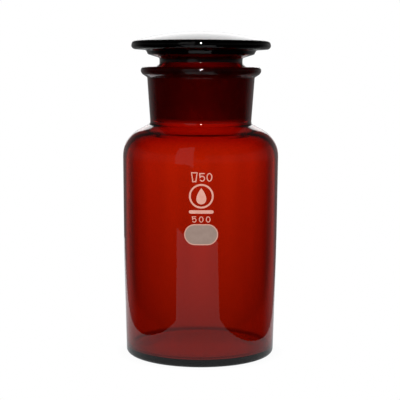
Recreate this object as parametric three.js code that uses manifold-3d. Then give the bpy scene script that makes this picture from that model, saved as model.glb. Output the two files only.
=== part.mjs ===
// A 500 mL wide-mouth reagent bottle with its ground-in glass stopper, in millimetres, +Z up.
// The origin is on the bottle's axis in the plane that it stands on, and the marks face -Y.
// Two loose pieces of glass: the blown bottle and the hollow stopper. The white marks are thin
// layers of enamel fired onto the bottle, and each one is a shell that follows its wall.
import * as THREE from 'three';
import { mergeVertices } from 'three/addons/utils/BufferGeometryUtils.js';
import Module from 'manifold-3d';

const wasm = await Module();
wasm.setup();

// How finely the round pieces are turned. Both glass pieces use the same number, so that the
// facets of the plug and the bore lie opposite each other.
const turns = 64;
const shoulderSteps = 7;
const smallSteps = 3;
const tinySteps = 2;
const domeSteps = 7;

// An edge rounded by this share of its thickness on both sides is almost a half circle.
const fullRound = 0.49;

// Bottle: outer surface. The blown wall narrows a little from the shoulder to the foot.
const bodyDiameter = 83.1;
const middleNarrowing = 1.1;
const footNarrowing = 3.8;
const heelRound = 2.2;
const standingWidth = 3.6;
const pushUpDepth = 1.2;
const pushUpSlope = 9.0;
const shoulderHeight = 106.4;
const shoulderRound = 16.0;
const shoulderSlope = THREE.MathUtils.degToRad(26.6);
const neckLength = 30.15;
const neckWall = 3.3;
const neckFlare = 0.3;
const neckRound = 2.2;
const lipReach = 3.45;
const lipThickness = 3.5;
const lipUnderSlope = 2.15;
const lipTopRound = 1.75;
const lipFootRound = 3.0;
const lipUnderRound = 0.9;
const mouthRound = 0.7;

// Bottle: inner surface.
const bodyWall = 2.2;
const shoulderWall = 2.8;
const floorThickness = 3.8;
const innerHeelRound = 1.8;
const throatRound = 2.4;

// Ground joint: the bore is widest at the mouth and its diameter narrows by 1 in 10.
const jointDiameter = 50.0;
const jointTaper = 0.1;
const boreFootRise = 1.8;
const groundJointGap = 0.15;

// Stopper: the plug that is ground into the bore, the waist above it and the domed disc.
const plugShortfall = 1.0;
const plugWall = 3.0;
const plugEndRound = 1.0;
const plugTopDepth = 0.3;
const waistInset = 2.9;
const waistFoot = 1.9;
const waistFootRound = 1.5;
const waistTop = 4.6;
const waistTopRound = 1.0;
const hollowHeight = 3.8;
const hollowNarrowing = 1.5;
const hollowRound = 6.0;
const flareWidth = 6.1;
const flareTop = 6.45;
const flareRound = 1.2;
const bowlWidth = 1.1;
const bowlTop = 8.6;
const discDiameter = 74.2;
const discThickness = 4.75;
const discFoot = 9.2;
const domeRise = 4.75;

// Enamel marks: heights are measured down from the start of the shoulder.
const enamelGap = 0.05;
const enamelThickness = 0.12;
const marksOffset = 0.42;
const taperRowDrop = 7.7;
const taperDigit = { width: 2.95, height: 4.3, line: 0.52 };
const taperDigitPlaces = [0.42, 4.02];
const taperSign = { top: 3.3, bottom: 2.0, height: 5.0, line: 0.5, place: -3.55 };
const emblemDrop = 17.3;
const emblemDiameter = 12.4;
const emblemLine = 0.9;
const droplet = { round: 2.5, height: 8.2 };
const barDrop = 25.3;
const bar = { width: 12.5, height: 1.7 };
const capacityRowDrop = 29.1;
const capacityDigit = { width: 2.3, height: 3.1, line: 0.42 };
const capacityDigitPitch = 3.5;
const patchDrop = 36.9;
const patch = { width: 17.1, height: 10.7 };

const glassColor = 0x7a1608;
const enamelColor = 0xe9e2d6;

// Radii and heights that follow from the sizes above.
const bodyRadius = bodyDiameter / 2;
const middleRadius = (bodyDiameter - middleNarrowing) / 2;
const footRadius = (bodyDiameter - footNarrowing) / 2;
const middleHeight = shoulderHeight / 2;
const shoulderTurn = Math.PI / 2 - shoulderSlope;
const shoulderCorner = shoulderHeight + shoulderRound * Math.tan(shoulderTurn / 2);
const boreLength = neckLength - boreFootRise;
const neckRadius = jointDiameter / 2 - boreLength * jointTaper / 2 + neckWall;
const neckFoot = shoulderCorner + (bodyRadius - neckRadius) * Math.tan(shoulderSlope);
const mouthHeight = neckFoot + neckLength;
const neckTopRadius = jointDiameter / 2 + neckWall + neckFlare;

function boreRadius(height) {
  return jointDiameter / 2 - (mouthHeight - height) * jointTaper / 2;
}

function plugRadius(height) {
  return boreRadius(height) - groundJointGap;
}

function shoulderInside(radius) {
  const outside = shoulderCorner + (bodyRadius - radius) * Math.tan(shoulderSlope);
  return outside - shoulderWall / Math.cos(shoulderSlope);
}

// How far an arc that rounds off a corner reaches along the lines on both sides of it.
function arcReach(corners, index) {
  const [before, corner, after] = [index - 1, index, index + 1].map(
    (place) => new THREE.Vector2(...(corners[place] ?? corners[index])),
  );
  const rounding = corners[index][2] ?? 0;
  const halfAngle = before.sub(corner).angleTo(after.sub(corner)) / 2;
  return rounding === 0 ? 0 : rounding / Math.tan(halfAngle);
}

// Turns a list of corners into a profile. A corner is [radius, height], or
// [radius, height, rounding, steps] where the corner is rounded off by an arc. Two arcs that
// would meet on a line too short for both are made smaller to fit it.
function roundedProfile(corners) {
  const reaches = corners.map((_, index) => arcReach(corners, index));
  const profile = [];
  corners.forEach(([radius, height, , steps = smallSteps], index) => {
    const corner = new THREE.Vector2(radius, height);
    if (reaches[index] === 0) {
      profile.push(corner);
      return;
    }
    const [before, after] = [index - 1, index + 1].map((place) => {
      const line = new THREE.Vector2(...corners[place]).sub(corner);
      const share = Math.min(1, line.length() / (reaches[index] + reaches[place]));
      return { line, share };
    });
    const reach = reaches[index] * Math.min(before.share, after.share);
    const start = before.line.setLength(reach);
    const end = after.line.setLength(reach);
    const halfAngle = start.angleTo(end) / 2;
    const centre = start.clone().add(end).setLength(reach / Math.cos(halfAngle));
    const sweep = (Math.PI - 2 * halfAngle) * Math.sign(end.cross(start));
    for (let step = 0; step <= steps; step += 1) {
      const spoke = start.clone().sub(centre);
      spoke.rotateAround(new THREE.Vector2(), sweep * step / steps);
      profile.push(spoke.add(centre).add(corner));
    }
  });
  return profile;
}

// Points on the spherical cap from just inside a rim up to its top on the axis.
function domeProfile(rimRadius, rimHeight, rise) {
  const sphere = (rimRadius * rimRadius + rise * rise) / (2 * rise);
  const rimAngle = Math.asin(rimRadius / sphere);
  const points = [];
  for (let step = 1; step <= domeSteps; step += 1) {
    const angle = rimAngle * (1 - step / domeSteps);
    const height = rimHeight + rise - sphere * (1 - Math.cos(angle));
    points.push(new THREE.Vector2(sphere * Math.sin(angle), height));
  }
  return points;
}

function turned(profile) {
  return new THREE.LatheGeometry(profile, turns).rotateX(Math.PI / 2);
}

function bottleGeometry() {
  const lipFoot = mouthHeight - lipThickness;
  const lipRadius = neckTopRadius + lipReach;
  const standingInside = footRadius - heelRound - standingWidth;
  const innerRadius = bodyRadius - bodyWall;
  const boreFoot = mouthHeight - boreLength;
  return turned(roundedProfile([
    [0, pushUpDepth],
    [standingInside - pushUpSlope, pushUpDepth],
    [standingInside, 0],
    [footRadius, 0, heelRound],
    [middleRadius, middleHeight],
    [bodyRadius, shoulderCorner, shoulderRound, shoulderSteps],
    [neckRadius, neckFoot, neckRound],
    [neckTopRadius, lipFoot - lipUnderSlope, lipUnderRound],
    [lipRadius, lipFoot, lipFootRound],
    [lipRadius, mouthHeight, lipTopRound],
    [boreRadius(mouthHeight), mouthHeight, mouthRound, tinySteps],
    [boreRadius(boreFoot), boreFoot],
    [boreRadius(boreFoot), shoulderInside(boreRadius(boreFoot)), throatRound],
    [innerRadius, shoulderInside(innerRadius), shoulderRound - shoulderWall, shoulderSteps],
    [middleRadius - bodyWall, middleHeight],
    [footRadius - bodyWall, floorThickness, innerHeelRound],
    [0, floorThickness],
  ]));
}

function stopperGeometry() {
  const plugFoot = mouthHeight - boreLength + plugShortfall;
  const plugTop = mouthHeight - plugTopDepth;
  const waistRadius = jointDiameter / 2 - waistInset;
  const hollowTop = mouthHeight + hollowHeight;
  const rimFoot = mouthHeight + discFoot;
  const rimRound = discThickness * fullRound;
  const discRadius = discDiameter / 2;
  const outline = roundedProfile([
    [0, hollowTop],
    [waistRadius - plugWall, hollowTop, hollowRound],
    [waistRadius - plugWall, mouthHeight + waistFoot - hollowNarrowing],
    [plugRadius(plugTop) - plugWall, plugTop - plugWall],
    [plugRadius(plugFoot) - plugWall, plugFoot, plugEndRound, tinySteps],
    [plugRadius(plugFoot), plugFoot, plugEndRound, tinySteps],
    [plugRadius(plugTop), plugTop, plugEndRound, tinySteps],
    [waistRadius, mouthHeight + waistFoot, waistFootRound],
    [waistRadius, mouthHeight + waistTop, waistTopRound, tinySteps],
    [waistRadius + flareWidth, mouthHeight + flareTop, flareRound, tinySteps],
    [waistRadius + flareWidth + bowlWidth, mouthHeight + bowlTop],
    [discRadius, rimFoot, rimRound],
    [discRadius, rimFoot + discThickness, rimRound],
    [discRadius - discThickness, rimFoot + discThickness],
  ]);
  outline.pop();
  const rim = outline[outline.length - 1];
  return turned([...outline, ...domeProfile(rim.x, rim.y, domeRise)]);
}

function toSolid(geometry) {
  geometry.deleteAttribute('normal');
  geometry.deleteAttribute('uv');
  const merged = mergeVertices(geometry);
  return new wasm.Manifold(new wasm.Mesh({
    numProp: 3,
    vertProperties: new Float32Array(merged.attributes.position.array),
    triVerts: new Uint32Array(merged.index.array),
  }));
}

function toGeometry(solid) {
  const mesh = solid.getMesh();
  const geometry = new THREE.BufferGeometry();
  geometry.setAttribute('position', new THREE.BufferAttribute(mesh.vertProperties, 3));
  geometry.setIndex(new THREE.BufferAttribute(mesh.triVerts, 1));
  return geometry;
}

// The layer that all the enamel is cut from: it follows the bottle's wall all the way up.
function enamelLayer() {
  const inside = enamelGap;
  const outside = enamelGap + enamelThickness;
  return toSolid(turned([
    new THREE.Vector2(middleRadius + inside, middleHeight),
    new THREE.Vector2(middleRadius + outside, middleHeight),
    new THREE.Vector2(bodyRadius + outside, shoulderCorner),
    new THREE.Vector2(bodyRadius + inside, shoulderCorner),
    new THREE.Vector2(middleRadius + inside, middleHeight),
  ]));
}

const enamel = enamelLayer();

// Cuts one flat outline, seen from the front, out of the layer of enamel.
function enamelMark(outline, place, drop) {
  const prism = new THREE.ExtrudeGeometry(outline, {
    depth: bodyDiameter, bevelEnabled: false, curveSegments: 6,
  });
  prism.rotateX(Math.PI / 2);
  prism.translate(marksOffset + place, 0, shoulderHeight - drop);
  return toGeometry(enamel.intersect(toSolid(prism)));
}

// The outline of a line of even width along a row of points.
function strokeOutline(points, width) {
  const left = [];
  const right = [];
  points.forEach((point, index) => {
    const before = points[Math.max(index - 1, 0)];
    const after = points[Math.min(index + 1, points.length - 1)];
    const into = point.clone().sub(before).normalize();
    const out = after.clone().sub(point).normalize();
    const along = into.add(out).normalize();
    const across = new THREE.Vector2(-along.y, along.x);
    const start = index === 0 ? after.clone().sub(point) : point.clone().sub(before);
    const mitre = Math.abs(across.cross(start.normalize()));
    across.multiplyScalar(width / 2 / mitre);
    left.push(point.clone().add(across));
    right.unshift(point.clone().sub(across));
  });
  return new THREE.Shape([...left, ...right]);
}

function digitFive({ width, height, line }) {
  const side = (width - line) / 2;
  const top = (height - line) / 2;
  const bowlAngle = THREE.MathUtils.degToRad(150);
  const bowl = new THREE.ArcCurve(0, side - top, side, bowlAngle, -bowlAngle, true);
  const corners = [new THREE.Vector2(side, top), new THREE.Vector2(-side, top)];
  return strokeOutline([...corners, ...bowl.getPoints(9)], line);
}

function digitZero({ width, height, line }) {
  const outline = new THREE.Shape().absellipse(0, 0, width / 2, height / 2, 0, Math.PI * 2);
  const hole = new THREE.Path();
  hole.absellipse(0, 0, width / 2 - line, height / 2 - line, 0, Math.PI * 2);
  outline.holes.push(hole);
  return outline;
}

function trapezium(top, bottom, height) {
  return [[-bottom, -height], [bottom, -height], [top, height], [-top, height]].map(
    ([x, y]) => new THREE.Vector2(x / 2, y / 2),
  );
}

function taperOutline({ top, bottom, height, line }) {
  const outline = new THREE.Shape(trapezium(top, bottom, height));
  const inside = trapezium(top - 2 * line, bottom - 2 * line, height - 2 * line);
  outline.holes.push(new THREE.Path(inside));
  return outline;
}

function ringOutline(diameter, line) {
  const outline = new THREE.Shape().absarc(0, 0, diameter / 2, 0, Math.PI * 2);
  const hole = new THREE.Path();
  hole.absarc(0, 0, diameter / 2 - line, 0, Math.PI * 2);
  outline.holes.push(hole);
  return outline;
}

function dropletOutline({ round, height }) {
  const foot = -height / 2;
  const outline = new THREE.Shape();
  outline.absarc(0, foot + round, round, Math.PI, Math.PI * 2);
  outline.quadraticCurveTo(round, foot + 2 * round, 0, height / 2);
  outline.quadraticCurveTo(-round, foot + 2 * round, -round, foot + round);
  return outline;
}

function stadiumOutline({ width, height }) {
  const straight = (width - height) / 2;
  const outline = new THREE.Shape();
  outline.absarc(straight, 0, height / 2, -Math.PI / 2, Math.PI / 2);
  outline.absarc(-straight, 0, height / 2, Math.PI / 2, Math.PI * 1.5);
  return outline;
}

const group = new THREE.Group();

function addMesh(name, geometry, look) {
  const mesh = new THREE.Mesh(geometry, new THREE.MeshStandardMaterial(look));
  mesh.name = name;
  group.add(mesh);
}

const glassLook = { color: glassColor, roughness: 0.05, metalness: 0 };
const enamelLook = { color: enamelColor, roughness: 0.6, metalness: 0 };

function addMark(name, outline, place, drop) {
  addMesh(name, enamelMark(outline, place, drop), enamelLook);
}

addMesh('bottle', bottleGeometry(), glassLook);
addMesh('stopper', stopperGeometry(), glassLook);

addMark('taper_sign', taperOutline(taperSign), taperSign.place, taperRowDrop);
[digitFive, digitZero].forEach((digit, index) => {
  const place = taperDigitPlaces[index];
  addMark(`taper_digit_${index + 1}`, digit(taperDigit), place, taperRowDrop);
});
addMark('emblem_ring', ringOutline(emblemDiameter, emblemLine), 0, emblemDrop);
addMark('emblem_droplet', dropletOutline(droplet), 0, emblemDrop);
addMark('emblem_bar', stadiumOutline(bar), 0, barDrop);
[digitFive, digitZero, digitZero].forEach((digit, index) => {
  const place = (index - 1) * capacityDigitPitch;
  addMark(`capacity_digit_${index + 1}`, digit(capacityDigit), place, capacityRowDrop);
});
addMark('writing_patch', stadiumOutline(patch), 0, patchDrop);

export default group;
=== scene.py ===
import math

import bpy
from mathutils import Matrix, Vector


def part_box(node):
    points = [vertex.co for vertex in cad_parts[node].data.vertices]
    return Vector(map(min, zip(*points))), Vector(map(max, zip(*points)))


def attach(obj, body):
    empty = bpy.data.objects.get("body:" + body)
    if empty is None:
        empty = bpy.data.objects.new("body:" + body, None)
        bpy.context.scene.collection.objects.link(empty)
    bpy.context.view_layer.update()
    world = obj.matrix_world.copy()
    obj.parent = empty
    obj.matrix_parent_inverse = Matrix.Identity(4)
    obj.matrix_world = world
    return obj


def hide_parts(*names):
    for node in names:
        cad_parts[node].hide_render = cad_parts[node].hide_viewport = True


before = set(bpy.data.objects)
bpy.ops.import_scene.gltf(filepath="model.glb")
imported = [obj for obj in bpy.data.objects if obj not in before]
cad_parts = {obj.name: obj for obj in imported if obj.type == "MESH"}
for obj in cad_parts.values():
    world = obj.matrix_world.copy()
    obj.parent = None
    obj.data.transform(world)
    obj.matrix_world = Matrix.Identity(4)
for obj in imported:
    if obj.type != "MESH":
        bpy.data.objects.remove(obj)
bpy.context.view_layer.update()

MM = 0.001

# The glass: the same driving sizes as the frame's solids, in metres.
FOOT_NARROWING = 3.8 * MM
MIDDLE_NARROWING = 1.1 * MM
BODY_RADIUS = 41.55 * MM
HEEL_ROUND = 2.2 * MM
STANDING_WIDTH = 3.6 * MM
PUSH_UP_DEPTH = 1.2 * MM
PUSH_UP_SLOPE = 9.0 * MM
SHOULDER_HEIGHT = 106.4 * MM
SHOULDER_ROUND = 16.0 * MM
SHOULDER_SLOPE = math.radians(26.6)
NECK_WALL = 3.3 * MM
NECK_FLARE = 0.3 * MM
NECK_ROUND = 2.2 * MM
LIP_THICKNESS = 3.5 * MM
LIP_REACH = 3.45 * MM
LIP_UNDER_SLOPE = 2.15 * MM
LIP_TOP_ROUND = 1.75 * MM
LIP_FOOT_ROUND = 3.0 * MM
LIP_UNDER_ROUND = 0.9 * MM
MOUTH_ROUND = 0.7 * MM
BODY_WALL = 2.2 * MM
SHOULDER_WALL = 2.8 * MM
FLOOR_THICKNESS = 3.8 * MM
INNER_HEEL_ROUND = 1.8 * MM
THROAT_ROUND = 2.4 * MM
JOINT_RADIUS = 25.0 * MM
JOINT_TAPER = 0.05
GROUND_GAP = 0.15 * MM

PLUG_WALL = 3.0 * MM
PLUG_END_ROUND = 1.0 * MM
PLUG_TOP_DEPTH = 0.3 * MM
WAIST_INSET = 2.9 * MM
WAIST_FOOT = 1.9 * MM
WAIST_FOOT_ROUND = 1.5 * MM
WAIST_TOP = 4.6 * MM
WAIST_TOP_ROUND = 1.0 * MM
HOLLOW_HEIGHT = 3.8 * MM
HOLLOW_NARROWING = 1.5 * MM
HOLLOW_ROUND = 6.0 * MM
FLARE_WIDTH = 6.1 * MM
FLARE_TOP = 6.45 * MM
FLARE_ROUND = 1.2 * MM
BOWL_WIDTH = 1.1 * MM
BOWL_TOP = 8.6 * MM
BOWL_ROUND = 1.0 * MM
DISC_FOOT = 9.2 * MM
DISC_THICKNESS = 4.75 * MM

FULL_ROUND = 0.49
EDGE_ROUND = 0.35 * MM

# Sizes that follow from those and from the frame.
MOUTH_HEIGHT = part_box("bottle")[1][2]
STOPPER_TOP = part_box("stopper")[1][2]
DISC_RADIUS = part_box("stopper")[1][0]
PLUG_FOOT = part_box("stopper")[0][2]
MIDDLE_RADIUS = BODY_RADIUS - MIDDLE_NARROWING / 2
FOOT_RADIUS = BODY_RADIUS - FOOT_NARROWING / 2
MIDDLE_HEIGHT = SHOULDER_HEIGHT / 2
SHOULDER_CORNER = SHOULDER_HEIGHT + SHOULDER_ROUND * math.tan(math.pi / 4 - SHOULDER_SLOPE / 2)


def bore_radius(height):
    return JOINT_RADIUS - (MOUTH_HEIGHT - height) * JOINT_TAPER


def shoulder_outside(radius):
    return SHOULDER_CORNER + (BODY_RADIUS - radius) * math.tan(SHOULDER_SLOPE)


def shoulder_inside(radius):
    return shoulder_outside(radius) - SHOULDER_WALL / math.cos(SHOULDER_SLOPE)


BORE_FOOT = PLUG_FOOT - 1.0 * MM
NECK_RADIUS = bore_radius(BORE_FOOT) + NECK_WALL
NECK_TOP_RADIUS = JOINT_RADIUS + NECK_WALL + NECK_FLARE
LIP_FOOT = MOUTH_HEIGHT - LIP_THICKNESS
WAIST_RADIUS = JOINT_RADIUS - WAIST_INSET


# ---------------------------------------------------------------- node building


def place_node(tree, node_type, settings=None, inputs=None):
    """Adds a node: its settings first, then the values or links of its sockets."""
    node = tree.nodes.new(node_type)
    for name, value in (settings or {}).items():
        if name == "stops":
            set_stops(node.color_ramp, value)
        else:
            setattr(node, name, value)
    for name, value in (inputs or {}).items():
        socket = node.inputs[name]
        value = value.socket if isinstance(value, Wire) else value
        if isinstance(value, bpy.types.NodeSocket):
            tree.links.new(value, socket)
        else:
            socket.default_value = value
    return node


def set_stops(ramp, stops):
    while len(ramp.elements) < len(stops):
        ramp.elements.new(0.5)
    for element, (position, color) in zip(ramp.elements, stops):
        element.position = position
        element.color = (*color, 1.0)


class Wire:
    """A socket that carries a number, so that shader maths reads as an expression."""

    def __init__(self, tree, socket):
        self.tree = tree
        self.socket = socket

    def maths(self, operation, *values):
        inputs = dict(enumerate(values))
        node = place_node(self.tree, "ShaderNodeMath", {"operation": operation}, inputs)
        return Wire(self.tree, node.outputs[0])

    def __add__(self, other):
        return self.maths("ADD", self, other)

    def __radd__(self, other):
        return self.maths("ADD", other, self)

    def __sub__(self, other):
        return self.maths("SUBTRACT", self, other)

    def __rsub__(self, other):
        return self.maths("SUBTRACT", other, self)

    def __mul__(self, other):
        return self.maths("MULTIPLY", self, other)

    def __rmul__(self, other):
        return self.maths("MULTIPLY", other, self)

    def __truediv__(self, other):
        return self.maths("DIVIDE", self, other)

    def __gt__(self, other):
        return self.maths("GREATER_THAN", self, other)

    def __lt__(self, other):
        return self.maths("LESS_THAN", self, other)

    def root(self):
        return self.maths("SQRT", self)

    def whole(self):
        return self.maths("FLOOR", self)

    def left_over(self, other):
        return self.maths("MODULO", self, other)

    def power(self, other):
        return self.maths("POWER", self, other)

    def size(self):
        return self.maths("ABSOLUTE", self)

    def sine(self):
        return self.maths("SINE", self)

    def cosine(self):
        return self.maths("COSINE", self)

    def angle_from(self, other):
        """The angle of the point (other, self), counted from other's own axis."""
        return self.maths("ARCTAN2", self, other)

    def larger(self, other):
        return self.maths("MAXIMUM", self, other)

    def clamped(self):
        return self.maths("MINIMUM", self.larger(0.0), 1.0)

    def ramp_between(self, low, high):
        """0 at low and 1 at high, and straight between them."""
        return ((self - low) * (1.0 / (high - low))).clamped()

    def ease_between(self, low, high):
        """0 at low and 1 at high, and smooth at both ends."""
        t = self.ramp_between(low, high)
        return t * t * (3.0 - 2.0 * t)


# ---------------------------------------------------------------- turned glass


def turning_tree():
    """Turns a wire outline into a closed solid: its corners are rounded off by arcs, long
    lines are divided, and a grid is laid around the axis through the outline's points."""
    tree = bpy.data.node_groups.new("Turned glass", "GeometryNodeTree")
    add = tree.interface.new_socket
    add("Geometry", in_out="INPUT", socket_type="NodeSocketGeometry")
    add("Turns", in_out="INPUT", socket_type="NodeSocketInt")
    add("Arc Steps", in_out="INPUT", socket_type="NodeSocketInt")
    add("Longest Step", in_out="INPUT", socket_type="NodeSocketFloat")
    add("Glass", in_out="INPUT", socket_type="NodeSocketMaterial")
    add("Geometry", in_out="OUTPUT", socket_type="NodeSocketGeometry")

    def node(node_type, settings=None, inputs=None):
        return place_node(tree, node_type, settings, inputs)

    given = node("NodeGroupInput").outputs
    rounding = node("GeometryNodeInputNamedAttribute", {"data_type": "FLOAT"}, {"Name": "rounding"})
    wire = node("GeometryNodeMeshToCurve", inputs={"Mesh": given["Geometry"]})
    rounded = node("GeometryNodeFilletCurve", {"mode": "POLY"}, {
        "Curve": wire.outputs["Curve"], "Count": given["Arc Steps"],
        "Radius": rounding.outputs["Attribute"], "Limit Radius": True,
    })

    index = Wire(tree, node("GeometryNodeInputIndex").outputs["Index"])
    here = node("GeometryNodeInputPosition").outputs["Position"]
    there = node("GeometryNodeFieldAtIndex", {"data_type": "FLOAT_VECTOR", "domain": "POINT"}, {
        "Index": index + 1, "Value": here,
    })
    step = node("ShaderNodeVectorMath", {"operation": "DISTANCE"}, {0: here, 1: there.outputs[0]})
    cuts = (Wire(tree, step.outputs["Value"]) / Wire(tree, given["Longest Step"])).whole()
    divided = node("GeometryNodeSubdivideCurve", inputs={
        "Curve": rounded.outputs["Curve"], "Cuts": cuts,
    })
    outline = node("GeometryNodeCurveToMesh", inputs={"Curve": divided.outputs["Curve"]})
    size = node("GeometryNodeAttributeDomainSize", {"component": "MESH"}, {
        "Geometry": outline.outputs["Mesh"],
    })
    count = Wire(tree, size.outputs["Point Count"])
    turns = Wire(tree, given["Turns"])

    grid = node("GeometryNodeMeshGrid", inputs={"Vertices X": turns + 1, "Vertices Y": count})
    point = node("GeometryNodeSampleIndex", {"data_type": "FLOAT_VECTOR", "domain": "POINT"}, {
        "Geometry": outline.outputs["Mesh"], "Value": here, "Index": index.left_over(count),
    })
    turn = (index / count).whole() * math.tau / turns
    place = node("ShaderNodeVectorRotate", {"rotation_type": "Z_AXIS"}, {
        "Vector": point.outputs[0], "Angle": turn,
    })
    laid = node("GeometryNodeSetPosition", inputs={
        "Geometry": grid.outputs["Mesh"], "Position": place.outputs["Vector"],
    })
    closed = node("GeometryNodeMergeByDistance", inputs={
        "Geometry": laid.outputs["Geometry"], "Distance": 0.2e-6,
    })
    smooth = node("GeometryNodeSetShadeSmooth", inputs={
        "Geometry": closed.outputs["Geometry"], "Shade Smooth": True,
    })
    real = node("GeometryNodeRealizeInstances", inputs={"Geometry": smooth.outputs["Geometry"]})
    glazed = node("GeometryNodeSetMaterial", inputs={
        "Geometry": real.outputs["Geometry"], "Material": given["Glass"],
    })
    node("NodeGroupOutput", inputs={"Geometry": glazed.outputs["Geometry"]})
    return tree


def made_by(tree, name, mesh, values):
    """Runs a tree on a mesh with the values of its named inputs, and keeps the plain result."""
    start = bpy.data.objects.new(name + "_start", mesh)
    bpy.context.scene.collection.objects.link(start)
    modifier = start.modifiers.new("Made", "NODES")
    modifier.node_group = tree
    sockets = {s.name: s.identifier for s in tree.interface.items_tree if s.in_out == "INPUT"}
    for input_name, value in values.items():
        modifier[sockets[input_name]] = value
    evaluated = start.evaluated_get(bpy.context.evaluated_depsgraph_get())
    result = bpy.data.meshes.new_from_object(evaluated)
    result.name = name
    piece = bpy.data.objects.new(name, result)
    bpy.context.scene.collection.objects.link(piece)
    bpy.data.objects.remove(start)
    return piece


def outline_mesh(name, corners):
    """A wire through the corners (radius, height, rounding), which carries their rounding."""
    mesh = bpy.data.meshes.new(name)
    points = [(radius, 0.0, height) for radius, height, _ in corners]
    mesh.from_pydata(points, [(i, i + 1) for i in range(len(points) - 1)], [])
    rounding = mesh.attributes.new("rounding", "FLOAT", "POINT")
    rounding.data.foreach_set("value", [r for _, _, r in corners])
    return mesh


def dome_corner(rim_radius, rise):
    """Where the tangents at the rim and the top of a spherical cap meet, and its radius."""
    sphere = (rim_radius ** 2 + rise ** 2) / (2 * rise)
    return sphere * math.tan(math.asin(rim_radius / sphere) / 2), sphere


def bottle_corners():
    standing_inside = FOOT_RADIUS - HEEL_ROUND - STANDING_WIDTH
    lip_radius = NECK_TOP_RADIUS + LIP_REACH
    inner_radius = BODY_RADIUS - BODY_WALL
    throat_radius = bore_radius(BORE_FOOT)
    return [
        (0, PUSH_UP_DEPTH, 0),
        (standing_inside - PUSH_UP_SLOPE, PUSH_UP_DEPTH, 20 * MM),
        (standing_inside, 0, EDGE_ROUND),
        (FOOT_RADIUS, 0, HEEL_ROUND),
        (MIDDLE_RADIUS, MIDDLE_HEIGHT, 900 * MM),
        (BODY_RADIUS, SHOULDER_CORNER, SHOULDER_ROUND),
        (NECK_RADIUS, shoulder_outside(NECK_RADIUS), NECK_ROUND),
        (NECK_TOP_RADIUS, LIP_FOOT - LIP_UNDER_SLOPE, LIP_UNDER_ROUND),
        (lip_radius, LIP_FOOT, LIP_FOOT_ROUND),
        (lip_radius, MOUTH_HEIGHT, LIP_TOP_ROUND),
        (bore_radius(MOUTH_HEIGHT), MOUTH_HEIGHT, MOUTH_ROUND),
        (throat_radius, BORE_FOOT, EDGE_ROUND),
        (throat_radius, shoulder_inside(throat_radius), THROAT_ROUND),
        (inner_radius, shoulder_inside(inner_radius), SHOULDER_ROUND - SHOULDER_WALL),
        (MIDDLE_RADIUS - BODY_WALL, MIDDLE_HEIGHT, 900 * MM),
        (FOOT_RADIUS - BODY_WALL, FLOOR_THICKNESS, INNER_HEEL_ROUND),
        (0, FLOOR_THICKNESS, 0),
    ]


def stopper_corners():
    def plug_radius(height):
        return bore_radius(height) - GROUND_GAP

    plug_top = MOUTH_HEIGHT - PLUG_TOP_DEPTH
    rim_foot = MOUTH_HEIGHT + DISC_FOOT
    rim_top = rim_foot + DISC_THICKNESS
    rim_round = DISC_THICKNESS * FULL_ROUND
    dome_edge = DISC_RADIUS - rim_round
    dome_reach, dome_sphere = dome_corner(dome_edge, STOPPER_TOP - rim_top)
    rim_drop = rim_round * (STOPPER_TOP - rim_top) / (dome_edge - dome_reach)
    return [
        (0, MOUTH_HEIGHT + HOLLOW_HEIGHT, 0),
        (WAIST_RADIUS - PLUG_WALL, MOUTH_HEIGHT + HOLLOW_HEIGHT, HOLLOW_ROUND),
        (WAIST_RADIUS - PLUG_WALL, MOUTH_HEIGHT + WAIST_FOOT - HOLLOW_NARROWING, 1 * MM),
        (plug_radius(plug_top) - PLUG_WALL, plug_top - PLUG_WALL, 1 * MM),
        (plug_radius(PLUG_FOOT) - PLUG_WALL, PLUG_FOOT, PLUG_END_ROUND),
        (plug_radius(PLUG_FOOT), PLUG_FOOT, PLUG_END_ROUND),
        (plug_radius(plug_top), plug_top, PLUG_END_ROUND),
        (WAIST_RADIUS, MOUTH_HEIGHT + WAIST_FOOT, WAIST_FOOT_ROUND),
        (WAIST_RADIUS, MOUTH_HEIGHT + WAIST_TOP, WAIST_TOP_ROUND),
        (WAIST_RADIUS + FLARE_WIDTH, MOUTH_HEIGHT + FLARE_TOP, FLARE_ROUND),
        (WAIST_RADIUS + FLARE_WIDTH + BOWL_WIDTH, MOUTH_HEIGHT + BOWL_TOP, BOWL_ROUND),
        (DISC_RADIUS, rim_foot, rim_round),
        (DISC_RADIUS, rim_top - rim_drop, rim_round),
        (dome_edge, rim_top, 0),
        (dome_reach, STOPPER_TOP, dome_sphere),
        (0, STOPPER_TOP, 0),
    ]


# ---------------------------------------------------------------- enamel

ENAMEL_GAP = 0.03 * MM
ENAMEL_THICKNESS = 0.12 * MM


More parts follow.
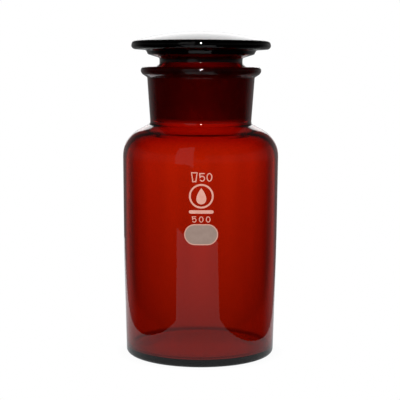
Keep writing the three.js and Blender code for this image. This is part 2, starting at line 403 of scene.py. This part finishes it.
def enamel_tree():
    """Fills flat outlines seen from the front, bends them around the bottle's wall and gives
    them the thickness of a layer of enamel."""
    tree = bpy.data.node_groups.new("Fired enamel", "GeometryNodeTree")
    add = tree.interface.new_socket
    add("Geometry", in_out="INPUT", socket_type="NodeSocketGeometry")
    add("Foot Height", in_out="INPUT", socket_type="NodeSocketFloat")
    add("Foot Radius", in_out="INPUT", socket_type="NodeSocketFloat")
    add("Widening", in_out="INPUT", socket_type="NodeSocketFloat")
    add("Thickness", in_out="INPUT", socket_type="NodeSocketFloat")
    add("Divisions", in_out="INPUT", socket_type="NodeSocketInt")
    add("Enamel", in_out="INPUT", socket_type="NodeSocketMaterial")
    add("Geometry", in_out="OUTPUT", socket_type="NodeSocketGeometry")

    def node(node_type, settings=None, inputs=None):
        return place_node(tree, node_type, settings, inputs)

    given = node("NodeGroupInput").outputs
    outline = node("GeometryNodeMeshToCurve", inputs={"Mesh": given["Geometry"]})
    filled = node("GeometryNodeFillCurve", {"mode": "TRIANGLES"}, {
        "Curve": outline.outputs["Curve"],
    })
    divided = node("GeometryNodeSubdivideMesh", inputs={
        "Mesh": filled.outputs["Mesh"], "Level": given["Divisions"],
    })
    flat = node("ShaderNodeSeparateXYZ", inputs={
        "Vector": node("GeometryNodeInputPosition").outputs["Position"],
    })
    across = Wire(tree, flat.outputs["X"])
    height = Wire(tree, flat.outputs["Y"])
    rise = height - Wire(tree, given["Foot Height"])
    radius = Wire(tree, given["Foot Radius"]) + rise * Wire(tree, given["Widening"])
    depth = (radius * radius - across * across).root()
    on_wall = node("ShaderNodeCombineXYZ", inputs={"X": across, "Y": 0.0 - depth, "Z": height})
    bent = node("GeometryNodeSetPosition", inputs={
        "Geometry": divided.outputs["Mesh"], "Position": on_wall.outputs["Vector"],
    })
    outward = node("ShaderNodeCombineXYZ", inputs={"X": across, "Y": 0.0 - depth, "Z": 0.0})
    unit = node("ShaderNodeVectorMath", {"operation": "NORMALIZE"}, {
        0: outward.outputs["Vector"],
    })
    raised = node("GeometryNodeExtrudeMesh", {"mode": "FACES"}, {
        "Mesh": bent.outputs["Geometry"], "Offset": unit.outputs["Vector"],
        "Offset Scale": given["Thickness"], "Individual": False,
    })
    back = node("GeometryNodeFlipFaces", inputs={"Mesh": bent.outputs["Geometry"]})
    layer = node("GeometryNodeJoinGeometry")
    tree.links.new(back.outputs["Mesh"], layer.inputs["Geometry"])
    tree.links.new(raised.outputs["Mesh"], layer.inputs["Geometry"])
    closed = node("GeometryNodeMergeByDistance", inputs={
        "Geometry": layer.outputs["Geometry"], "Distance": 1e-6,
    })
    real = node("GeometryNodeRealizeInstances", inputs={"Geometry": closed.outputs["Geometry"]})
    coated = node("GeometryNodeSetMaterial", inputs={
        "Geometry": real.outputs["Geometry"], "Material": given["Enamel"],
    })
    node("NodeGroupOutput", inputs={"Geometry": coated.outputs["Geometry"]})
    return tree


def arc(centre_x, centre_y, radius_x, radius_y, start, end, steps):
    """Points along part of an ellipse, from one angle to another in degrees."""
    points = []
    for step in range(steps + 1):
        angle = math.radians(start + (end - start) * step / steps)
        points.append((centre_x + radius_x * math.cos(angle), centre_y + radius_y * math.sin(angle)))
    return points


def ellipse(width, height, steps=48):
    return arc(0, 0, width / 2, height / 2, 0, 360, steps)[:-1]


def digit_zero(width, height, line):
    return [ellipse(width, height), ellipse(width - 2 * line, height - 2 * line)]


def stroke(points, width):
    """The outline of a line of even width through some points."""
    left = []
    right = []
    last = len(points) - 1
    for index, (x, y) in enumerate(points):
        x0, y0 = points[max(index - 1, 0)]
        x1, y1 = points[min(index + 1, last)]
        before = math.atan2(y - y0, x - x0) if index > 0 else None
        after = math.atan2(y1 - y, x1 - x) if index < last else None
        before = after if before is None else before
        after = before if after is None else after
        turn = math.remainder(after - before, math.tau)
        across = before + turn / 2 + math.pi / 2
        reach = width / 2 / math.cos(turn / 2)
        left.append((x + reach * math.cos(across), y + reach * math.sin(across)))
        right.insert(0, (x - reach * math.cos(across), y - reach * math.sin(across)))
    return left + right


def digit_five(width, height, line):
    side = (width - line) / 2
    top = (height - line) / 2
    bowl = arc(0, side - top, side, side, 150, -150, 24)
    return [stroke([(side, top), (-side, top)] + bowl, line)]


def trapezium(top, bottom, height):
    return [
        (-bottom / 2, -height / 2), (bottom / 2, -height / 2),
        (top / 2, height / 2), (-top / 2, height / 2),
    ]


def taper_sign(top, bottom, height, line):
    inside = trapezium(top - 2 * line, bottom - 2 * line, height - 2 * line)
    return [trapezium(top, bottom, height), inside]


def ring(diameter, line):
    return [ellipse(diameter, diameter, 96), ellipse(diameter - 2 * line, diameter - 2 * line, 96)]


def bend(start, middle, end, steps=12):
    """Points on a curve that leaves the start and reaches the end towards the middle."""
    points = []
    for step in range(1, steps):
        t = step / steps
        weights = ((1 - t) ** 2, 2 * t * (1 - t), t * t)
        points.append(tuple(
            sum(w * p[axis] for w, p in zip(weights, (start, middle, end))) for axis in (0, 1)
        ))
    return points


def droplet(radius, height):
    foot = -height / 2
    left, right, tip = (-radius, foot + radius), (radius, foot + radius), (0, height / 2)
    round_foot = arc(0, foot + radius, radius, radius, 180, 360, 32)
    up = bend(right, (radius, foot + 2 * radius), tip)
    down = bend(tip, (-radius, foot + 2 * radius), left)
    return [round_foot + up + [tip] + down]


def stadium(width, height):
    straight = (width - height) / 2
    right = arc(straight, 0, height / 2, height / 2, -90, 90, 24)
    return [right + arc(-straight, 0, height / 2, height / 2, 90, 270, 24)]


def fit(outlines, node):
    """Moves outlines made around the origin to the middle of a mark of the frame."""
    low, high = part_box(node)
    middle_x = (low[0] + high[0]) / 2
    middle_z = (low[2] + high[2]) / 2
    return [[(x * MM + middle_x, z * MM + middle_z) for x, z in line] for line in outlines]


def loops_mesh(name, outlines):
    mesh = bpy.data.meshes.new(name)
    points = []
    edges = []
    for line in outlines:
        first = len(points)
        count = len(line)
        points += [(x, z, 0.0) for x, z in line]
        edges += [(first + i, first + (i + 1) % count) for i in range(count)]
    mesh.from_pydata(points, edges, [])
    return mesh


TAPER_DIGIT = (2.95, 4.3, 0.52)
CAPACITY_DIGIT = (2.3, 3.1, 0.42)
PATCH_SIZE = (17.1, 10.7)
MARKS = {
    "taper_sign": taper_sign(3.3, 2.0, 5.0, 0.5),
    "taper_digit_1": digit_five(*TAPER_DIGIT),
    "taper_digit_2": digit_zero(*TAPER_DIGIT),
    "emblem_ring": ring(12.4, 0.9),
    "emblem_droplet": droplet(2.5, 8.2),
    "emblem_bar": stadium(12.5, 1.7),
    "capacity_digit_1": digit_five(*CAPACITY_DIGIT),
    "capacity_digit_2": digit_zero(*CAPACITY_DIGIT),
    "capacity_digit_3": digit_zero(*CAPACITY_DIGIT),
    "writing_patch": stadium(*PATCH_SIZE),
}


# ---------------------------------------------------------------- materials


def new_material(name):
    material = bpy.data.materials.new(name)
    material.use_nodes = True
    tree = material.node_tree
    tree.nodes.clear()
    return material, tree


def object_place(tree):
    """The position on the object, and from it the height and the distance from the axis."""
    place = place_node(tree, "ShaderNodeTexCoord").outputs["Object"]
    parts = place_node(tree, "ShaderNodeSeparateXYZ", inputs={"Vector": place})
    x = Wire(tree, parts.outputs["X"])
    y = Wire(tree, parts.outputs["Y"])
    return place, Wire(tree, parts.outputs["Z"]), (x * x + y * y).root()


def noise(tree, place, scale, detail=2.0, stretch=(1, 1, 1)):
    mapping = place_node(tree, "ShaderNodeMapping", inputs={"Vector": place, "Scale": stretch})
    texture = place_node(tree, "ShaderNodeTexNoise", inputs={
        "Vector": mapping.outputs["Vector"], "Scale": scale, "Detail": detail,
    })
    return Wire(tree, texture.outputs["Fac"])


AMBER_ABSORPTION = (0.885, 0.43, 0.02)
AMBER_DENSITY = 1130.0
AMBER_TINT = (0.87, 0.42, 0.27)


def amber_glass(name, ground_zone):
    """Dark amber glass: clear where it is fire-polished and matt where the joint is ground."""
    material, tree = new_material(name)
    place, height, radius = object_place(tree)
    ground = ground_zone(height, radius)

    haze = noise(tree, place, 90.0, 4.0).ramp_between(0.35, 0.75)
    grain = noise(tree, place, 2600.0, 2.0, (1, 1, 3.0))
    sway = noise(tree, place, 26.0, 1.0, (1, 1, 0.35))
    roughness = 0.012 + haze * 0.02 + ground * (0.52 + grain * 0.16)

    relief = sway * (1 - ground) + grain * ground * 0.08
    bump = place_node(tree, "ShaderNodeBump", inputs={
        "Height": relief, "Strength": 0.35, "Distance": 0.12 * MM,
    })
    tint = place_node(tree, "ShaderNodeMix", {"data_type": "RGBA"}, {
        0: haze * 0.25, 6: (*AMBER_TINT, 1.0), 7: (*(c * 0.94 for c in AMBER_TINT), 1.0),
    })
    shader = place_node(tree, "ShaderNodeBsdfPrincipled", inputs={
        "Base Color": tint.outputs[2], "Roughness": roughness, "IOR": 1.52,
        "Transmission Weight": 1.0, "Normal": bump.outputs["Normal"],
    })
    inside = place_node(tree, "ShaderNodeVolumeAbsorption", inputs={
        "Color": (*AMBER_ABSORPTION, 1.0), "Density": AMBER_DENSITY,
    })
    place_node(tree, "ShaderNodeOutputMaterial", inputs={
        "Surface": shader.outputs["BSDF"], "Volume": inside.outputs["Volume"],
    })
    return material


# Between these radii lie the ground faces: the neck's outside is wider, the hollow narrower.
BORE_WITHIN = 25.9 * MM
PLUG_BEYOND = 22.8 * MM
PLUG_CLEAR_TOP = 1.0 * MM


def bore_zone(height, radius):
    """1 on the ground bore of the neck."""
    return (height > BORE_FOOT) * (height < MOUTH_HEIGHT - MOUTH_ROUND) * (radius < BORE_WITHIN)


def plug_zone(height, radius):
    """1 on the ground outside of the plug."""
    above = height > PLUG_FOOT + PLUG_END_ROUND
    return above * (height < MOUTH_HEIGHT - PLUG_CLEAR_TOP) * (radius > PLUG_BEYOND)


PATCH_BORDER = 0.5 * MM
BORDER_COLOR = (0.86, 0.46, 0.36)


def patch_border(tree, place):
    """1 along the outline of the writing patch, where the enamel has drawn together."""
    low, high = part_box("writing_patch")
    parts = place_node(tree, "ShaderNodeSeparateXYZ", inputs={"Vector": place})
    across = Wire(tree, parts.outputs["X"]) - (low[0] + high[0]) / 2
    along = Wire(tree, parts.outputs["Z"]) - (low[2] + high[2]) / 2
    straight = (PATCH_SIZE[0] - PATCH_SIZE[1]) / 2 * MM
    past = (across.size() - straight).larger(0.0)
    from_middle = (past * past + along * along).root()
    edge = PATCH_SIZE[1] / 2 * MM
    return from_middle.ease_between(edge - 1.5 * PATCH_BORDER, edge - 0.5 * PATCH_BORDER)


def white_enamel(name, thin_color, thick_color, border=None):
    """White enamel, fired on: matt, a little uneven and thin in places. A border gives where
    it has another colour."""
    material, tree = new_material(name)
    place, _, _ = object_place(tree)
    blotches = noise(tree, place, 420.0, 3.0).ramp_between(0.3, 0.7)
    grit = noise(tree, place, 4200.0, 2.0)
    color = place_node(tree, "ShaderNodeMix", {"data_type": "RGBA"}, {
        0: blotches, 6: (*thin_color, 1.0), 7: (*thick_color, 1.0),
    })
    if border is not None:
        color = place_node(tree, "ShaderNodeMix", {"data_type": "RGBA"}, {
            0: border(tree, place), 6: color.outputs[2], 7: (*BORDER_COLOR, 1.0),
        })
    bump = place_node(tree, "ShaderNodeBump", inputs={
        "Height": grit + blotches * 0.5, "Strength": 0.4, "Distance": 0.02 * MM,
    })
    shader = place_node(tree, "ShaderNodeBsdfPrincipled", inputs={
        "Base Color": color.outputs[2], "Roughness": 0.42 + grit * 0.3, "IOR": 1.5,
        "Normal": bump.outputs["Normal"],
    })
    place_node(tree, "ShaderNodeOutputMaterial", inputs={"Surface": shader.outputs["BSDF"]})
    return material


# ---------------------------------------------------------------- the object

glass_tree = turning_tree()
bottle_glass = amber_glass("amber_glass_bottle", bore_zone)
stopper_glass = amber_glass("amber_glass_stopper", plug_zone)
GLASS_PIECES = (
    ("bottle", bottle_corners(), bottle_glass),
    ("stopper", stopper_corners(), stopper_glass),
)
for node_name, corners, glass in GLASS_PIECES:
    wire = outline_mesh(node_name + "_outline", corners)
    piece = made_by(glass_tree, "blown_" + node_name, wire, {
        "Turns": 192, "Arc Steps": 10, "Longest Step": 1.5 * MM, "Glass": glass,
    })
    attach(piece, node_name)
    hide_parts(node_name)

mark_tree = enamel_tree()
line_enamel = white_enamel("white_enamel_line", (0.92, 0.42, 0.32), (0.99, 0.50, 0.40))
patch_enamel = white_enamel(
    "white_enamel_patch", (0.395, 0.275, 0.228), (0.435, 0.308, 0.256), patch_border)
for node_name, outlines in MARKS.items():
    loops = loops_mesh(node_name + "_outline", fit(outlines, node_name))
    piece = made_by(mark_tree, "enamel_" + node_name, loops, {
        "Foot Height": MIDDLE_HEIGHT, "Foot Radius": MIDDLE_RADIUS + ENAMEL_GAP,
        "Widening": (BODY_RADIUS - MIDDLE_RADIUS) / (SHOULDER_CORNER - MIDDLE_HEIGHT),
        "Thickness": ENAMEL_THICKNESS, "Divisions": 3,
        "Enamel": patch_enamel if node_name == "writing_patch" else line_enamel,
    })
    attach(piece, "bottle")
    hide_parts(node_name)


# ---------------------------------------------------------------- studio


def flat_piece(name, corners, material):
    """One flat face of the studio, which isn't part of the object."""
    mesh = bpy.data.meshes.new(name)
    mesh.from_pydata(corners, [], [tuple(range(len(corners)))])
    mesh.materials.append(material)
    piece = bpy.data.objects.new(name, mesh)
    bpy.context.scene.collection.objects.link(piece)
    return piece


def glowing(name, strength):
    material, tree = new_material(name)
    light = place_node(tree, "ShaderNodeEmission", inputs={
        "Color": (1.0, 1.0, 1.0, 1.0), "Strength": strength,
    })
    place_node(tree, "ShaderNodeOutputMaterial", inputs={"Surface": light.outputs["Emission"]})
    return material


def only_reflected(piece):
    """Keeps a card out of everything but the gloss on the glass."""
    piece.visible_camera = False
    piece.visible_diffuse = False
    piece.visible_transmission = False
    piece.visible_volume_scatter = False
    piece.visible_shadow = False


PANEL_COUNT = 8
PANEL_FOCUS = 0.2
BETWEEN_PANELS = 0.08


def panel_glow(across, along):
    """The light panels stand all round the table, with dark gaps between them. This gives how
    bright they are in a direction: 1 straight at a panel, and little in a gap."""
    slant = across.size() / along
    return BETWEEN_PANELS + (1.0 - BETWEEN_PANELS) * (1.0 - slant.ease_between(0.05, 0.30))


def turn_to_panel(x, y):
    """The angle from the nearest panel's middle. The first panel is behind the bottle."""
    share = x.angle_from(y) * (PANEL_COUNT / math.tau) + (PANEL_COUNT + 0.5)
    return (share.left_over(1.0) - 0.5) * (math.tau / PANEL_COUNT)


def white_floor_painted_shade():
    """A white table that glows instead of being lit, with painted light and shade. Seen straight on
    it is white with a faint painted contact shadow; through the glass it shows painted panel light
    and painted shade round the bottle.
    """
    material, tree = new_material("white_table_painted_shade")
    place = place_node(tree, "ShaderNodeTexCoord").outputs["Object"]
    parts = place_node(tree, "ShaderNodeSeparateXYZ", inputs={"Vector": place})
    x = Wire(tree, parts.outputs["X"])
    y = Wire(tree, parts.outputs["Y"])
    radius = (x * x + y * y).root()
    turn = turn_to_panel(x, y)
    # Painted light: a pool of light from each panel on the table, dark in the gaps between them.
    painted_panel_light = panel_glow(radius * turn.sine(), radius * turn.cosine() + PANEL_FOCUS)
    # Painted shade: darker close round and under the bottle, with a painted brighter patch under its
    # front, and brighter further out.
    painted_contact_shade = radius.ramp_between(0.034, 0.062).power(0.5)
    painted_light_under_front = (1 - radius.ease_between(0.033, 0.037)) * (1 - y.ease_between(0.004, 0.014))
    painted_falloff_from_bottle = 0.29 + 0.66 * radius.ramp_between(0.045, 1.2).power(0.5)
    shade = 0.05 + 0.15 * painted_light_under_front + painted_contact_shade * painted_falloff_from_bottle
    path = place_node(tree, "ShaderNodeLightPath")
    seen = Wire(tree, path.outputs["Is Camera Ray"])
    # Painted contact shadow seen straight on: a little darker just round the foot.
    seen_shade = 0.96 + 0.04 * radius.ramp_between(0.037, 0.046)
    light = place_node(tree, "ShaderNodeEmission", inputs={
        "Color": (1.0, 1.0, 1.0, 1.0), "Strength": seen * seen_shade + (1 - seen) * painted_panel_light * shade,
    })
    place_node(tree, "ShaderNodeOutputMaterial", inputs={"Surface": light.outputs["Emission"]})
    return material


def glowing_paper_painted_light():
    """The sheet under the bottle, which shines in its wall. It glows instead of being lit, with
    painted light: brighter behind the bottle.
    """
    material, tree = new_material("glowing_paper_painted_light")
    place = place_node(tree, "ShaderNodeTexCoord").outputs["Object"]
    parts = place_node(tree, "ShaderNodeSeparateXYZ", inputs={"Vector": place})
    # Painted light: the glowing sheet is brighter behind the bottle than in front of it.
    behind = Wire(tree, parts.outputs["Y"]).ramp_between(-0.12, 0.12)
    light = place_node(tree, "ShaderNodeEmission", inputs={
        "Color": (0.95, 0.98, 1.0, 1.0), "Strength": 0.38 + 0.34 * behind,
    })
    place_node(tree, "ShaderNodeOutputMaterial", inputs={"Surface": light.outputs["Emission"]})
    return material


def studio_world():
    """White where it is looked at. Light panels all round show through the glass, and a high
    soft box behind the bottle shines in its gloss."""
    world = bpy.data.worlds.new("studio")
    bpy.context.scene.world = world
    world.use_nodes = True
    tree = world.node_tree
    tree.nodes.clear()
    direction = place_node(tree, "ShaderNodeTexCoord").outputs["Generated"]
    parts = place_node(tree, "ShaderNodeSeparateXYZ", inputs={"Vector": direction})
    x = Wire(tree, parts.outputs["X"])
    y = Wire(tree, parts.outputs["Y"])
    level = (x * x + y * y).root()
    elevation = Wire(tree, parts.outputs["Z"]).angle_from(level) * (180.0 / math.pi)
    turn = turn_to_panel(x, y)
    aside = x.angle_from(y).size() * (180.0 / math.pi)
    in_front = aside.ease_between(120.0, 150.0) * elevation.ease_between(2.0, 8.0)
    panels = panel_glow(turn.sine(), turn.cosine()) * (1 - elevation.ease_between(10.0, 26.0))
    through = panels * (1 - 0.6 * in_front)

    above_table = elevation.ramp_between(-0.5, 0.5)
    fill = (1.0 + 0.9 * elevation.ease_between(8.0, 12.0)) * (1 - elevation.ease_between(33.0, 37.0))
    soft_box = fill * above_table * (1 - aside.ease_between(14.5, 16.5))
    lower_half = 1 - 0.7 * elevation.ease_between(0.0, 15.0)
    sides = 0.15 * lower_half * (1 - aside.ease_between(30.0, 72.0))
    room = 0.05 * elevation.ease_between(-8.0, 0.0) * (1 - elevation.ease_between(12.0, 25.0))
    gloss = 0.006 + room + soft_box + sides

    path = place_node(tree, "ShaderNodeLightPath").outputs
    seen = Wire(tree, path["Is Camera Ray"])
    refracted = Wire(tree, path["Is Transmission Ray"])
    reflected = Wire(tree, path["Is Reflection Ray"])
    diffuse = Wire(tree, path["Is Diffuse Ray"])
    strength = seen + refracted * through + (1 - diffuse) * reflected * gloss + diffuse * 0.2
    light = place_node(tree, "ShaderNodeBackground", inputs={
        "Color": (1.0, 1.0, 1.0, 1.0), "Strength": strength,
    })
    place_node(tree, "ShaderNodeOutputWorld", inputs={"Surface": light.outputs["Background"]})


def upright_card(name, left, right, depth, top, strength):
    """A glowing card that stands on the table, facing the bottle."""
    corners = [(left, depth, 0), (right, depth, 0), (right, depth, top), (left, depth, top)]
    card = flat_piece(name, corners, glowing(name, strength))
    only_reflected(card)


TABLE_REACH = 6.0
floor = flat_piece("white_table_painted_shade", [
    (-TABLE_REACH, -TABLE_REACH, 0), (TABLE_REACH, -TABLE_REACH, 0),
    (TABLE_REACH, TABLE_REACH, 0), (-TABLE_REACH, TABLE_REACH, 0),
], white_floor_painted_shade())
floor.visible_glossy = False

paper = flat_piece("bounce_paper", [
    (-0.280, -0.424, 0), (0.210, -0.461, 0), (0.059, -0.122, 0), (0.071, -0.033, 0),
    (0.090, 0.10, 0), (0.130, 0.40, 0), (-0.190, 0.40, 0), (-0.120, 0.11, 0), (-0.084, -0.026, 0),
    (-0.068, -0.112, 0),
], glowing_paper_painted_light())
only_reflected(paper)
upright_card("window_card", left=-0.75, right=-0.18, depth=-1.0, top=1.25, strength=0.27)

studio_world()


def strip_lamp(name, place, energy, width, height):
    """A lamp aimed at the mouth. The camera doesn't see it, and it doesn't show through glass."""
    lamp = bpy.data.lights.new(name, "AREA")
    lamp.shape = "RECTANGLE"
    lamp.size = width
    lamp.size_y = height
    lamp.energy = energy
    lamp_object = bpy.data.objects.new(name, lamp)
    bpy.context.scene.collection.objects.link(lamp_object)
    lamp_object.location = place
    aim = Vector((0, 0, MOUTH_HEIGHT)) - lamp_object.location
    lamp_object.rotation_euler = aim.to_track_quat("-Z", "Y").to_euler()
    lamp_object.visible_camera = False
    lamp_object.visible_transmission = False


# An upright strip light in front makes the small highlights on the rims. A little black flag
# just off the shoulder keeps it from shining there.
strip_lamp("front_lamp", (0.0, -0.66, 0.40), energy=2.4, width=0.03, height=0.20)

FLAG_HALF_WIDTH = 0.003
FLAG_DEPTH = -0.050
FLAG_FOOT = 0.108
FLAG_TOP = 0.124
flag = flat_piece("shoulder_flag", [
    (-FLAG_HALF_WIDTH, FLAG_DEPTH, FLAG_FOOT), (FLAG_HALF_WIDTH, FLAG_DEPTH, FLAG_FOOT),
    (FLAG_HALF_WIDTH, FLAG_DEPTH, FLAG_TOP), (-FLAG_HALF_WIDTH, FLAG_DEPTH, FLAG_TOP),
], glowing("black_flag", 0.0))
flag.visible_camera = False
flag.visible_transmission = False
flag.visible_diffuse = False

CAMERA_PLACE = (-0.00023, -0.650, 0.15744)
CAMERA_DOWN = math.radians(6.583)
CAMERA_ROLL = math.radians(0.25)
camera_data = bpy.data.cameras.new("camera")
camera_data.sensor_width = 36.0
camera_data.lens = 109.41
camera = bpy.data.objects.new("camera", camera_data)
bpy.context.scene.collection.objects.link(camera)
camera.location = CAMERA_PLACE
pitch = Matrix.Rotation(math.pi / 2 - CAMERA_DOWN, 3, "X")
roll = Matrix.Rotation(CAMERA_ROLL, 3, "Z")
camera.rotation_euler = (pitch @ roll).to_euler()
bpy.context.scene.camera = camera

bpy.context.scene.view_settings.view_transform = "Standard"
cycles = bpy.context.scene.cycles
cycles.max_bounces = 32
cycles.transmission_bounces = 32
cycles.glossy_bounces = 12
